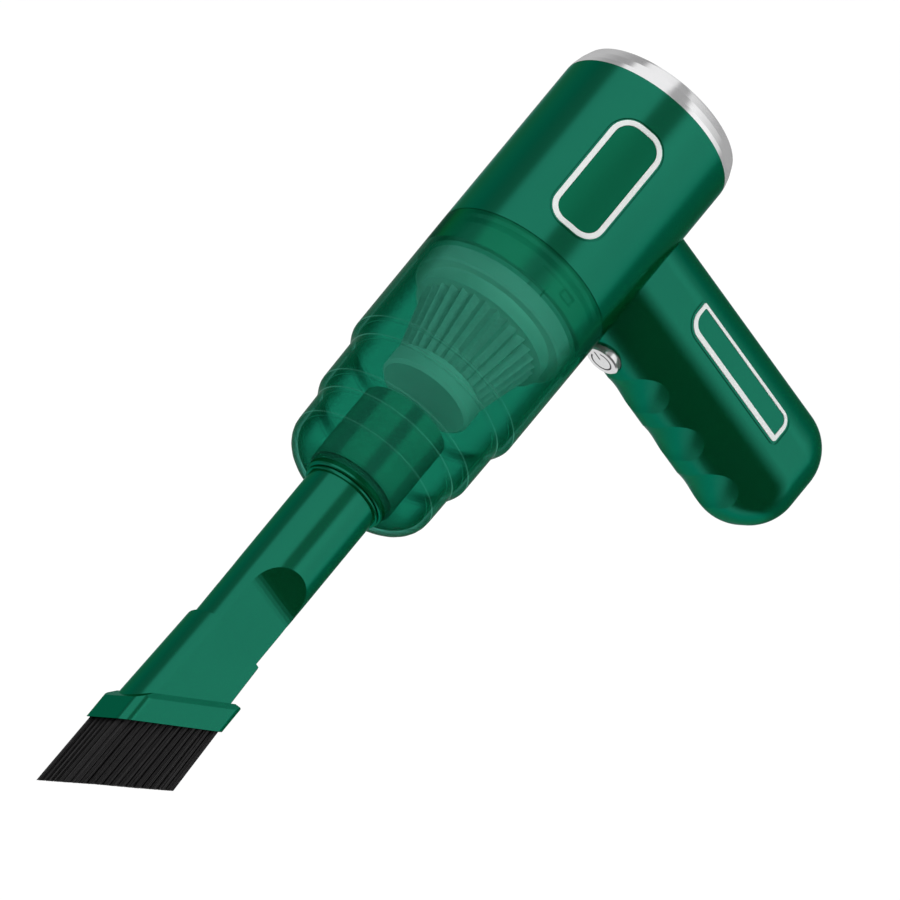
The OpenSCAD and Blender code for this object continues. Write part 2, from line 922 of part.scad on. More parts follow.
module battery_cells() {
    place() color([0.1, 0.35, 0.6])
        for (s = [-1, 1])
            translate([handle_x + s * cell_pitch / 2, 0, cell_bottom])
                cylinder(r = cell_r, h = cell_len);
}

module cell_links() {
    x = cell_pitch / 2;
    place() color(steel)
        union() {
            translate([handle_x, 0, cell_bottom - link_t / 2])
                cube([2 * x + 8, 6, link_t], center = true);
            for (s = [-1, 1])
                translate([handle_x + s * x, 0, cell_top + link_t / 2])
                    cube([8, 6, link_t], center = true);
        }
}

module cell_holder() {
    low = cell_bottom - link_t - plate_t;
    high = cell_top + link_t + plate_t;
    half_y = cell_r + 2.8;
    place() color(black)
        union() {
            for (z = [low, high - plate_t])
                translate([handle_x, 0, z])
                    linear_extrude(height = plate_t)
                        polygon(slot_outline(cell_pitch + 2 * cell_r - 1, 2 * cell_r - 1));
            for (side = [-1, 1])
                box([handle_x - 4, min(side * (cell_r + 0.8), side * half_y), low],
                    [handle_x + 4, max(side * (cell_r + 0.8), side * half_y), high]);
            for (z = [low, high - plate_t])
                box([handle_x - 4, -half_y, z], [handle_x + 4, half_y, z + plate_t]);
        }
}

module charge_board() {
    y = port_t / 2;
    place() color(board_green)
        box([handle_x - board_half, y, board_z], [handle_x + board_half, y + board_t, board_top]);
}

module charge_socket() {
    place() color(steel)
        translate([handle_x, 0, port_z])
            difference() {
                linear_extrude(height = port_depth)
                    polygon(slot_outline(port_w, port_t));
                translate([0, 0, -1])
                    linear_extrude(height = port_depth - 1)
                        polygon(slot_outline(port_w - 0.8, port_t - 0.8));
            }
}

module filter_frame() {
    plug = spigot_in - fit;
    place() color(white)
        spin([
            [plug - 2, spigot_x1 - 6], [plug, spigot_x1 - 6], [plug, spigot_x1], [flange_r, spigot_x1],
            [flange_r, flange_x1 - 0.8], [flange_r - 0.8, flange_x1], [neck_r, flange_x1],
            [neck_r, neck_x1], [media_in + 8, neck_x1], [media_in + 8, flange_x1 - 2],
            [plug - 2, flange_x1 - 2]
        ]);
}

module filter_pleats() {
    n = 2 * pleats;
    wall = 5;
    star = [
        for (i = [0:n - 1])
            (i % 2 == 0 ? media_r0 : media_r0 - pleat_depth) * [cos(360 * i / n), sin(360 * i / n)]
    ];
    place() color(white)
        difference() {
            translate([neck_x1, 0, 0])
                rotate([0, 90, 0])
                    linear_extrude(height = pleat_len, scale = media_r1 / media_r0)
                        polygon(star);
            spin([
                [0, neck_x1 - 1], [media_r0 - wall, neck_x1 - 1], [media_r1 - wall, media_x1 + 1],
                [0, media_x1 + 1]
            ]);
        }
}

module filter_cap() {
    place() color(white)
        spin([
            [0, media_x1], [cap_r, media_x1], [cap_r, media_x1 + filter_cap_len - 1.2],
            [cap_r - 1.2, media_x1 + filter_cap_len], [0, media_x1 + filter_cap_len]
        ]);
}

module dust_cup() {
    bore = lip_r + fit;
    lug_out = cup_in + 0.5;
    place() color(clear_green)
        union() {
            spin(concat(
                cup_path(0), [[bore, nose_x1]], [[bore, nose_x1 - cup_wall]], reversed(cup_path(cup_wall))
            ));
            for (side = [90, 270])
                sector([
                    [lug_in, lug_x], [lug_out, lug_x], [lug_out, lug_x + lug_len], [lug_in, lug_x + lug_len]
                ], side - lug_deg / 2, lug_deg);
        }
}

module inlet_tube() {
    back = nose_x1 - cup_wall;
    place() color(dark_green)
        spin([
            [stop_r, tube_x0], [tube_r, tube_x0], [tube_r, back], [lip_r, back],
            [lip_r, lip_x - 0.8], [lip_r - 0.25, lip_x - 0.25], [lip_r - 0.8, lip_x],
            [tube_in + 0.2, lip_x], [tube_in, lip_x - 0.2],
            [tube_in, oring_x + oring_w + gap], [oring_out + fit, oring_x + oring_w + gap],
            [oring_out + fit, oring_x - gap], [tube_in, oring_x - gap], [tube_in, stop_x], [stop_r, stop_x]
        ]);
}

module nozzle_seal() {
    place() color(black)
        ring(oring_out, oring_in, oring_x, oring_x + oring_w);
}

// Hollow run-out of a flat grown by t, as [x, y] points from the flat outwards
function run_out(t, out) = [
    for (i = [0:ramp_n])
        let (a = acos((nozzle_flat + ramp_r - out) / (ramp_r - t)) * i / ramp_n)
        [ramp_x + ramp_len - (ramp_r - t) * sin(a), nozzle_flat + ramp_r - (ramp_r - t) * cos(a)]
];

// Nozzle body grown by t: a round tube that runs out into two flats
module nozzle_form(t, x0, x1) {
    far = nozzle_r + 4;
    r = nozzle_r + t;
    flat = nozzle_flat + t;
    half = concat([[x1 + 1, flat]], run_out(t, far), [[x0 - 1, far]]);
    intersection() {
        spin([[0, x0], [r, x0], [r, ramp_x], [r - nozzle_draft, x1], [0, x1]]);
        top_prism(concat(half, reversed([for (p = half) [p[0], -p[1]]])), 2 * far);
    }
}

module crevice_nozzle() {
    far = nozzle_r + 4;
    z1 = nozzle_r - tip_flat;
    collar_x = lip_x + gap;
    place() color(green)
        difference() {
            union() {
                nozzle_form(0, nozzle_x0, nozzle_x1);
                spin([
                    [nozzle_r - 1, collar_x], [collar_r - 0.3, collar_x], [collar_r, collar_x + 0.3],
                    [collar_r, collar_x + collar_len - 0.3], [collar_r - 0.3, collar_x + collar_len],
                    [nozzle_r - 1, collar_x + collar_len]
                ]);
            }
            nozzle_form(-nozzle_wall, nozzle_x0 - 1, nozzle_x1 + 1);
            side_prism([
                [nozzle_x1, z1], [nozzle_x1 - (z1 + far) * tan(nozzle_slant), -far], [nozzle_x1 + 9, -far],
                [nozzle_x1 + 9, z1]
            ], 2 * far);
        }
}

// Length of the bristles at height z
function bristle_reach(z) = bristle_len + z * bristle_trim;

// Station of the slanted brush front at height z
function front_x(z) = sleeve_x1 - (band_w / 2 - z) * tan(brush_slant);

// Slanted slice between two distances behind the brush front
module slant_slice(behind0, behind1) {
    slant_prism([[behind0, -band_w], [behind1, -band_w], [behind1, band_w], [behind0, band_w]]);
}

// Prism that leans with the brush front, from [distance behind the front, y] points
module slant_prism(points) {
    translate([front_x(0), 0, 0])
        rotate([0, brush_slant, 0])
            linear_extrude(height = 4 * band_w, center = true)
                polygon([for (p = points) [-p[0] * cos(brush_slant), p[1]]]);
}

// Rounded bar along the nozzle axis
module round_bar(w, t, corner, x0, x1) {
    dy = t / 2 - corner;
    dz = w / 2 - corner;
    box([x0, -dy, -w / 2], [x1, dy, w / 2]);
    box([x0, -t / 2, -dz], [x1, t / 2, dz]);
    for (sy = [-1, 1])
        for (sz = [-1, 1])
            translate([0, sy * dy, sz * dz])
                rod(corner, x0, x1);
}

// Flared band: a rounded bar with a slanted front that ramps down to the sleeve behind it
module brush_band(x0, x1) {
    side = nozzle_flat + sleeve_wall + gap;
    top = nozzle_r;
    back = band_len + band_ramp;
    half_t = band_t / 2;
    half_w = band_w / 2;
    intersection() {
        round_bar(band_w, band_t, band_corner, x0, x1);
        slant_prism([
            [0, -half_t], [band_len, -half_t], [back, -side], [back, side], [band_len, half_t], [0, half_t]
        ]);
        side_prism([
            [front_x(-half_w), -half_w], [front_x(half_w), half_w], [front_x(half_w) - band_len, half_w],
            [front_x(top) - back, top], [front_x(-top) - back, -top], [front_x(-half_w) - band_len, -half_w]
        ], band_t + 1);
    }
}

module brush_sleeve() {
    wall = sleeve_wall + gap;
    x0 = sleeve_x0;
    x1 = sleeve_x1 + 4;
    place() color(green)
        difference() {
            union() {
                intersection() {
                    spin([[0, x0], [nozzle_r + wall - 0.2, x0], [nozzle_r + wall + 1.4, x1], [0, x1]]);
                    top_prism([
                        [x0 - 1, -nozzle_flat - wall], [x1, -nozzle_flat - wall],
                        [x1, nozzle_flat + wall], [x0 - 1, nozzle_flat + wall]
                    ], 60);
                    slant_slice(band_len - 1, 90);
                }
                brush_band(x0, x1);
            }
            nozzle_form(gap, nozzle_x0, sleeve_x1 + 8);
            intersection() {
                round_bar(band_w - 2 * rim_t, band_t - 2 * rim_t, band_corner - rim_t, x0, x1 + 9);
                slant_slice(-9, backing_t);
            }
        }
}

// Tuft of bristles at one place on the backing
module tuft(y, z) {
    for (i = [0:tuft_core_n - 1])
        bristle(y, z, tuft_core_r, 360 * i / tuft_core_n);
    for (i = [0:tuft_edge_n - 1])
        bristle(y, z, tuft_r, 360 * i / tuft_edge_n);
}

// One strand at a radius and angle in its tuft, rooted in the backing
module bristle(y, z, r, a) {
    root = 1;
    bz = z + r * sin(a);
    translate([front_x(bz) - root, y + r * cos(a), bz])
        rotate([0, 90, 0])
            cylinder(r = bristle_r, h = bristle_reach(bz) + root, $fn = 3);
}

module brush_bristles() {
    row = 13;
    place() color(black)
        union() {
            difference() {
                intersection() {
                    round_bar(
                        band_w - 2 * rim_t - 2 * fit, band_t - 2 * rim_t - 2 * fit,
                        band_corner - rim_t, sleeve_x0, sleeve_x1 + 4
                    );
                    slant_slice(0.4, backing_t);
                }
                box([sleeve_x0, -mouth_t / 2, -mouth_w / 2], [sleeve_x1 + 9, mouth_t / 2, mouth_w / 2]);
            }
            for (side = [-1, 1]) {
                for (i = [0:row - 1])
                    tuft(side * row_y, (i - (row - 1) / 2) * (2 * row_z - 2) / (row - 1));
                for (i = [0:3])
                    tuft((i - 1.5) * 2.5, side * row_z);
            }
        }
}

barrel_shell();
rear_ring();
rear_grille();
front_collar();
cup_seal();
barrel_panel_left();
barrel_panel_right();
barrel_trim_left();
barrel_trim_right();
motor_can();
motor_magnets();
motor_end_cap();
motor_terminals();
motor_leads();
motor_mount_front();
motor_mount_rear();
fan_shroud();
motor_shaft();
motor_armature();
impeller();
handle_shell();
handle_inlay_left();
handle_inlay_right();
handle_trim_left();
handle_trim_right();
handle_bracket();
handle_screws();
barrel_screws();
power_button();
button_symbol();
button_switch();
switch_board();
battery_cells();
cell_holder();
cell_links();
charge_board();
charge_socket();
filter_frame();
filter_pleats();
filter_cap();
dust_cup();
inlet_tube();
nozzle_seal();
crevice_nozzle();
brush_sleeve();
brush_bristles();
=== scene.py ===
"""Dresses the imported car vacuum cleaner.

Every piece gets its finish, the brush its strands, and the stage its light and camera. Lengths are
metres in the part's own frame: X runs forward along the barrel axis, Y to the left and Z up, with
the origin under the middle of the part, level with the end of the handle.
"""

from __future__ import annotations

import logging
import math
import random
from dataclasses import dataclass, field
from enum import Enum
from typing import Any, ClassVar, Mapping, Sequence, Union

import bmesh
import bpy
from mathutils import Matrix, Vector

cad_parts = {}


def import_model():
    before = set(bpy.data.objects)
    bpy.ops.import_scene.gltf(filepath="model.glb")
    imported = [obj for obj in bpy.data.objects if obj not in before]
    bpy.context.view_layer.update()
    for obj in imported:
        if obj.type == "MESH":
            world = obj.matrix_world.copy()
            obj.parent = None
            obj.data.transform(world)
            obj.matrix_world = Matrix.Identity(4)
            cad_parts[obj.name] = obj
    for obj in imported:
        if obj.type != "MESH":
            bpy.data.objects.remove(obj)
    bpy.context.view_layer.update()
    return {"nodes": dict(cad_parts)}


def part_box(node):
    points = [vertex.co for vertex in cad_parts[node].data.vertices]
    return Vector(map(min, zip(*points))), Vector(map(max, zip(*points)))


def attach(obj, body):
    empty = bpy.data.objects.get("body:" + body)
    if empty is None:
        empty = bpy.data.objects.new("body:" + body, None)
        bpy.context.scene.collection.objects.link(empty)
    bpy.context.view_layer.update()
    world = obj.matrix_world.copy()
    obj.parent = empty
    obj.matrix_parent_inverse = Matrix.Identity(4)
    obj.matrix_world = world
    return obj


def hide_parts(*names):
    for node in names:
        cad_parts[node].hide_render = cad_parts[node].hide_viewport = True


LOG = logging.getLogger("vacuum")
MM = 0.001
# Front of the cup, where the inlet tube turns from pale to green
LIP_X = 12.7 * MM
# Front end of the thick band at the cup's rear
CUP_BAND_X = -73.6 * MM
# Steps of the cup, where stripes of painted highlight lie on the clear plastic
STEP_X = (-36.1 * MM, -30.1 * MM, -13.9 * MM, -7.9 * MM, 3.2 * MM)
# Turn from one strand of a tuft to the next
GOLDEN_TURN = math.pi * (3 - math.sqrt(5))
WHITE = (1.0, 1.0, 1.0, 1.0)
Colour = tuple[float, float, float]
Direction = tuple[float, float, float]
Value = Union["Sock", float, int, Sequence[float]]


def shade(red: int, green: int, blue: int) -> Colour:
    """Turns a colour of 0 to 255 as seen on a screen into linear light."""
    return tuple(
        c / 12.92 if c <= 0.04045 else ((c + 0.055) / 1.055) ** 2.4
        for c in (red / 255, green / 255, blue / 255)
    )


class Body(Enum):
    """The moving body that a new piece rides on."""

    BRUSH = "brush"


class Op(Enum):
    """The sums that shader values use."""

    ADD = "ADD"
    SUBTRACT = "SUBTRACT"
    MULTIPLY = "MULTIPLY"
    DIVIDE = "DIVIDE"
    POWER = "POWER"


@dataclass(frozen=True)
class Sock:
    """A shader output whose sums add Math nodes to its graph."""

    graph: "Graph"
    socket: bpy.types.NodeSocket

    def _sum(self, op: Op, first: Value, second: Value) -> "Sock":
        """Adds one Math node for two values."""
        return self.graph.add("ShaderNodeMath", {"operation": op.value}, {0: first, 1: second})

    def __add__(self, other: Value) -> "Sock":
        """Returns self + other."""
        return self._sum(Op.ADD, self, other)

    def __radd__(self, other: Value) -> "Sock":
        """Returns other + self."""
        return self._sum(Op.ADD, other, self)

    def __sub__(self, other: Value) -> "Sock":
        """Returns self - other."""
        return self._sum(Op.SUBTRACT, self, other)

    def __rsub__(self, other: Value) -> "Sock":
        """Returns other - self."""
        return self._sum(Op.SUBTRACT, other, self)

    def __mul__(self, other: Value) -> "Sock":
        """Returns self * other."""
        return self._sum(Op.MULTIPLY, self, other)

    def __rmul__(self, other: Value) -> "Sock":
        """Returns other * self."""
        return self._sum(Op.MULTIPLY, other, self)

    def __truediv__(self, other: Value) -> "Sock":
        """Returns self / other."""
        return self._sum(Op.DIVIDE, self, other)

    def __pow__(self, other: Value) -> "Sock":
        """Returns self to a power."""
        return self._sum(Op.POWER, self, other)

    def clamp(self) -> "Sock":
        """Returns self held between 0 and 1."""
        return self.graph.add("ShaderNodeClamp", {}, {"Value": self})

    def about(self, middle: float, spread: float) -> "Sock":
        """Turns noise, which lies about 0.5, into values about another middle.

        Args:
            middle: the new middle.
            spread: how far apart noise of 0 and of 1 then lie.

        Returns:
            The values.
        """
        return (self - 0.5) * spread + middle


class Graph:
    """The node tree of one material or world."""

    def __init__(self, owner: bpy.types.Material | bpy.types.World) -> None:
        """Empties the owner's node tree.

        Args:
            owner: the material or world that the nodes belong to.
        """
        owner.use_nodes = True
        self.tree = owner.node_tree
        self.tree.nodes.clear()

    def add(
        self,
        kind: str,
        settings: Mapping[str, Any] | None = None,
        inputs: Mapping[str | int, Value] | None = None,
        out: str | int = 0,
    ) -> Sock:
        """Adds a node.

        Args:
            kind: the node's type.
            settings: attributes that are set first; "stops" fills a ramp with places and colours.
            inputs: values or links of its sockets, by name or number.
            out: the output that is returned.

        Returns:
            The chosen output.
        """
        node = self.tree.nodes.new(kind)
        for name, value in (settings or {}).items():
            if name == "stops":
                self._fill_ramp(node.color_ramp, value)
            else:
                setattr(node, name, value)
        for name, value in (inputs or {}).items():
            if isinstance(value, Sock):
                self.tree.links.new(value.socket, node.inputs[name])
            else:
                node.inputs[name].default_value = value
        return Sock(self, node.outputs[out])

    def end(self, kind: str, shader: Sock) -> None:
        """Adds the output node and links a shader to it."""
        self.tree.links.new(shader.socket, self.tree.nodes.new(kind).inputs["Surface"])

    @staticmethod
    def _fill_ramp(ramp: bpy.types.ColorRamp, stops: Sequence[tuple[float, Colour]]) -> None:
        """Sets a ramp's stops."""
        while len(ramp.elements) > len(stops):
            ramp.elements.remove(ramp.elements[-1])
        while len(ramp.elements) < len(stops):
            ramp.elements.new(1.0)
        for element, (place, colour) in zip(ramp.elements, stops):
            element.position = place
            element.color = (*colour, 1.0)

    def place(self) -> Sock:
        """Returns the object coordinates."""
        return self.add("ShaderNodeTexCoord", out="Object")

    def noise(self, scale: float, detail: float = 2.0, stretch: Colour = (1, 1, 1)) -> Sock:
        """Adds noise on the object coordinates.

        Args:
            scale: how many grains there are to a metre.
            detail: how many finer layers it has.
            stretch: how much finer it is along each axis.

        Returns:
            Values about 0.5.
        """
        where = self.add("ShaderNodeMapping", {}, {"Vector": self.place(), "Scale": stretch})
        inputs = {"Vector": where, "Scale": scale, "Detail": detail}
        return self.add("ShaderNodeTexNoise", {}, inputs)

    def mix(self, share: Value, first: Value, second: Value) -> Sock:
        """Mixes two colours.

        Args:
            share: 0 for the first and 1 for the second.
            first: a colour or its link.
            second: a colour or its link.

        Returns:
            The mixed colour.
        """
        first, second = (
            (*v, 1.0) if isinstance(v, tuple) and len(v) == 3 else v for v in (first, second)
        )
        inputs = {0: share, 6: first, 7: second}
        return self.add("ShaderNodeMix", {"data_type": "RGBA"}, inputs, out=2)

    def bump(self, height: Value, strength: float, depth: float) -> Sock:
        """Turns a height into a normal.

        Args:
            height: the height, about 0 to 1.
            strength: how much of it shows.
            depth: the height of 1, in metres.

        Returns:
            The normal.
        """
        return self.add(
            "ShaderNodeBump", {}, {"Height": height, "Strength": strength, "Distance": depth}
        )

    def finish(self, shader: Sock) -> None:
        """Links a shader to the material's output."""
        self.end("ShaderNodeOutputMaterial", shader)


@dataclass(frozen=True)
class Finish:
    """What every finish has: a name and a colour."""

    name: str
    colour: Colour

    def graph(self) -> tuple[bpy.types.Material, Graph]:
        """Returns a new material and its empty graph."""
        material = bpy.data.materials.new(self.name)
        material.diffuse_color = (*self.colour, 1.0)
        return material, Graph(material)


@dataclass(frozen=True)
class MouldedPlastic(Finish):
    """Injection-moulded plastic: faintly cloudy, slowly wavy and marked by handling.

    Attributes:
        rough: mean roughness.
        gloss: specular level.
        wave: depth of the moulded waviness.
    """

    CLOUD_GRAIN: ClassVar[float] = 22.0
    CLOUD_DEEP: ClassVar[float] = 0.93
    CLOUD_PALE: ClassVar[float] = 1.06
    CLOUD_LIFT: ClassVar[float] = 0.001
    RUB_GRAIN: ClassVar[float] = 90.0
    RUB_STRETCH: ClassVar[Colour] = (0.35, 1.0, 1.0)
    RUB_SPREAD: ClassVar[float] = 0.12
    WAVE_GRAIN: ClassVar[float] = 55.0
    WAVE_SHARE: ClassVar[float] = 0.5

    rough: float = 0.25
    gloss: float = 0.3
    wave: float = 0.02 * MM

    def material(self) -> bpy.types.Material:
        """Returns the material."""
        material, g = self.graph()
        g.finish(self.coat(g, self.cloudy(g, self.colour)))
        return material

    def cloudy(self, g: Graph, colour: Colour) -> Sock:
        """Makes a colour faintly cloudy.

        Args:
            g: the material's graph.
            colour: the mean colour.

        Returns:
            The colour over the surface.
        """
        deep = tuple(self.CLOUD_DEEP * c for c in colour)
        pale = tuple(min(1.0, self.CLOUD_PALE * c + self.CLOUD_LIFT) for c in colour)
        return g.mix(g.noise(self.CLOUD_GRAIN, detail=3.0), deep, pale)

    def coat(
        self, g: Graph, colour: Sock, metal: float = 0.0, edge: Colour = (1.0, 1.0, 1.0)
    ) -> Sock:
        """Makes one coat.

        Args:
            g: the material's graph.
            colour: the coat's colour.
            metal: 1 where the coat is metallic pigment.
            edge: tint of its reflections at grazing angles.

        Returns:
            The shader.
        """
        rub = g.noise(self.RUB_GRAIN, detail=3.0, stretch=self.RUB_STRETCH)
        wave = g.noise(self.WAVE_GRAIN, detail=0.0)
        return g.add(
            "ShaderNodeBsdfPrincipled",
            {},
            {
                "Base Color": colour,
                "Roughness": rub.about(self.rough, self.RUB_SPREAD),
                "Metallic": metal,
                "Specular IOR Level": self.gloss,
                "Specular Tint": (*edge, 1.0),
                "Normal": g.bump(wave, self.WAVE_SHARE, self.wave),
            },
        )


@dataclass(frozen=True)
class PearlPlastic(MouldedPlastic):
    """Moulded plastic of a deep base colour with metallic pigment in it.

    Attributes:
        gloss: specular level of the base.
        pearl: colour of the pigment.
        share: how much of the surface is pigment.
        edge: tint of the pigment at grazing angles.
        rear: colour of base and pigment behind rear_x, where that differs.
        rear_x: where that colour ends along X.
    """

    REAR_SHARP: ClassVar[float] = 1e5

    gloss: float = 0.02
    pearl: Colour = (1.0, 1.0, 1.0)
    share: float = 0.8
    edge: Colour = (1.0, 1.0, 1.0)
    rear: Colour | None = None
    rear_x: float = 0.0

    def material(self) -> bpy.types.Material:
        """Returns the material."""
        material, g = self.graph()
        base, pearl = self.cloudy(g, self.colour), self.cloudy(g, self.pearl)
        if self.rear:
            along = g.add("ShaderNodeSeparateXYZ", {}, {"Vector": g.place()})
            behind = ((self.rear_x - along) * self.REAR_SHARP).clamp()
            base, pearl = g.mix(behind, base, self.rear), g.mix(behind, pearl, self.rear)
        layers = {0: self.share, 1: self.coat(g, base), 2: self.coat(g, pearl, 1.0, self.edge)}
        g.finish(g.add("ShaderNodeMixShader", {}, layers))
        return material


@dataclass(frozen=True)
class ClearPlastic(Finish):
    """Tinted clear plastic that shows what is behind it, with highlights painted as pale stripes
    along its steps.

    Attributes:
        tint: colour of the light that one surface lets through.
        veil: share of light that the surface itself sends back, seen straight on.
        rim: how much that share grows towards the edges.
        rough: roughness of its gloss.
        painted_highlight_xs: where stripes are painted along X as highlights on the steps.
        painted_highlight_half: half the width of such a painted highlight stripe.
        painted_highlight_colour: its pale colour.
        painted_highlight_share: how much of it shows.
        band_x: where the thick band at the rear ends, along X.
        band_colour: the band's colour.
        band_share: how much of the band shows.
    """

    STREAK_GRAIN: ClassVar[float] = 60.0
    STREAK_STRETCH: ClassVar[Colour] = (0.3, 1.0, 1.0)
    STREAK_ROUGH: ClassVar[float] = 0.1
    STREAK_SHARE: ClassVar[float] = 0.05
    BAND_SHARP: ClassVar[float] = 5000.0
    BAND_METAL: ClassVar[float] = 0.8
    IOR: ClassVar[float] = 1.1
    GLOSS: ClassVar[float] = 0.06
    RIM_BLEND: ClassVar[float] = 0.3
    RIM_START: ClassVar[float] = 0.28
    RIM_WIDTH: ClassVar[float] = 0.3
    PAINTED_HIGHLIGHT_MARGIN: ClassVar[float] = 10 * MM

    tint: Colour = (0.3, 0.6, 0.5)
    veil: float = 0.1
    rim: float = 0.5
    rough: float = 0.2
    painted_highlight_xs: tuple[float, ...] = ()
    painted_highlight_half: float = 0.4 * MM
    painted_highlight_colour: Colour = (0.2, 0.5, 0.4)
    painted_highlight_share: float = 0.35
    band_x: float = 0.0
    band_colour: Colour = (0.1, 0.4, 0.3)
    band_share: float = 0.42

    def material(self) -> bpy.types.Material:
        """Returns the material."""
        material, g = self.graph()
        streak = g.noise(self.STREAK_GRAIN, detail=3.0, stretch=self.STREAK_STRETCH)
        along = g.add("ShaderNodeSeparateXYZ", {}, {"Vector": g.place()})
        # Highlights painted as pale stripes at the steps, in the colour and in how much skin shows
        painted_highlight = self._painted_highlights(g, along)
        band = ((self.band_x - along) * self.BAND_SHARP).clamp()
        painted_highlit = g.mix(painted_highlight, self.colour, self.painted_highlight_colour)
        skin = g.add(
            "ShaderNodeBsdfPrincipled",
            {},
            {
                "Base Color": g.mix(band, painted_highlit, self.band_colour),
                "Roughness": streak.about(self.rough, self.STREAK_ROUGH),
                "Metallic": band * self.BAND_METAL,
                "IOR": self.IOR,
                "Specular IOR Level": self.GLOSS,
                "Specular Tint": (*self.colour, 1.0),
            },
        )
        through = g.add("ShaderNodeBsdfTransparent", {}, {"Color": (*self.tint, 1.0)})
        facing = g.add("ShaderNodeLayerWeight", {}, {"Blend": self.RIM_BLEND}, out="Facing")
        edge = ((facing - self.RIM_START) / self.RIM_WIDTH).clamp()
        share = streak.about(self.veil, self.STREAK_SHARE) + edge * self.rim
        # The painted highlight stripes also show more of the skin
        share = (share + painted_highlight * self.painted_highlight_share + band * self.band_share).clamp()
        g.finish(g.add("ShaderNodeMixShader", {}, {0: share, 1: through, 2: skin}))
        return material

    def _painted_highlights(self, g: Graph, along: Sock) -> Sock:
        """Shows where the painted highlight stripes are.

        Args:
            g: the material's graph.
            along: the place along X.

        Returns:
            1 in the middle of each painted highlight stripe, fading to 0 beside it.
        """
        first, last = self.painted_highlight_xs[0] - self.PAINTED_HIGHLIGHT_MARGIN, self.painted_highlight_xs[-1] + self.PAINTED_HIGHLIGHT_MARGIN
        span = last - first
        stops = []
        for x in self.painted_highlight_xs:
            for off, level in ((-self.painted_highlight_half, 0.0), (0.0, 1.0), (self.painted_highlight_half, 0.0)):
                stops.append(((x + off - first) / span, (level, level, level)))
        return g.add("ShaderNodeValToRGB", {"stops": stops}, {"Fac": (along - first) / span})


@dataclass(frozen=True)
class Metal(Finish):
    """Plated or turned metal with fine marks along its turning.

    Attributes:
        rough: mean roughness.
        marks: how much the marks change it.
        stretch: direction of the marks, as the noise's fineness along each axis.
        bare: how much of the surface is bare metal; the rest is pale and dull, as on satin plating.
    """

    MARK_GRAIN: ClassVar[float] = 1800.0
    MARK_SHARE: ClassVar[float] = 0.1
    MARK_DEPTH: ClassVar[float] = 0.02 * MM
    CLOUD_GRAIN: ClassVar[float] = 45.0
    CLOUD_DEEP: ClassVar[float] = 0.92

    rough: float = 0.12
    marks: float = 0.12
    stretch: Colour = (1.0, 0.08, 0.08)
    bare: float = 1.0

    def material(self) -> bpy.types.Material:
        """Returns the material."""
        material, g = self.graph()
        turned = g.noise(self.MARK_GRAIN, stretch=self.stretch)
        deep = tuple(self.CLOUD_DEEP * c for c in self.colour)
        shader = g.add(
            "ShaderNodeBsdfPrincipled",
            {},
            {
                "Base Color": g.mix(g.noise(self.CLOUD_GRAIN), deep, self.colour),
                "Metallic": self.bare,
                "Roughness": turned.about(self.rough, self.marks),
                "Normal": g.bump(turned, self.MARK_SHARE, self.MARK_DEPTH),
            },
        )
        g.finish(shader)
        return material


@dataclass(frozen=True)
class Fibre(Finish):
    """Fibrous or rubbery matt material.

    Attributes:
        rough: mean roughness.
        grain: how many grains there are to a metre.
        depth: depth of the grain.
        stretch: the noise's fineness along each axis.
        gloss: specular level.
    """

    DEEP: ClassVar[float] = 0.7
    ROUGH_SPREAD: ClassVar[float] = 0.2
    GRAIN_SHARE: ClassVar[float] = 0.4

    rough: float = 0.8
    grain: float = 1500.0
    depth: float = 0.1 * MM
    stretch: Colour = (1.0, 1.0, 1.0)
    gloss: float = 0.3

    def material(self) -> bpy.types.Material:
        """Returns the material."""
        material, g = self.graph()
        grain = g.noise(self.grain, detail=3.0, stretch=self.stretch)
        deep = tuple(self.DEEP * c for c in self.colour)
        shader = g.add(
            "ShaderNodeBsdfPrincipled",
            {},
            {
                "Base Color": g.mix(grain, deep, self.colour),
                "Roughness": grain.about(self.rough, self.ROUGH_SPREAD),
                "Specular IOR Level": self.gloss,
                "Normal": g.bump(grain, self.GRAIN_SHARE, self.depth),
            },
        )
        g.finish(shader)
        return material


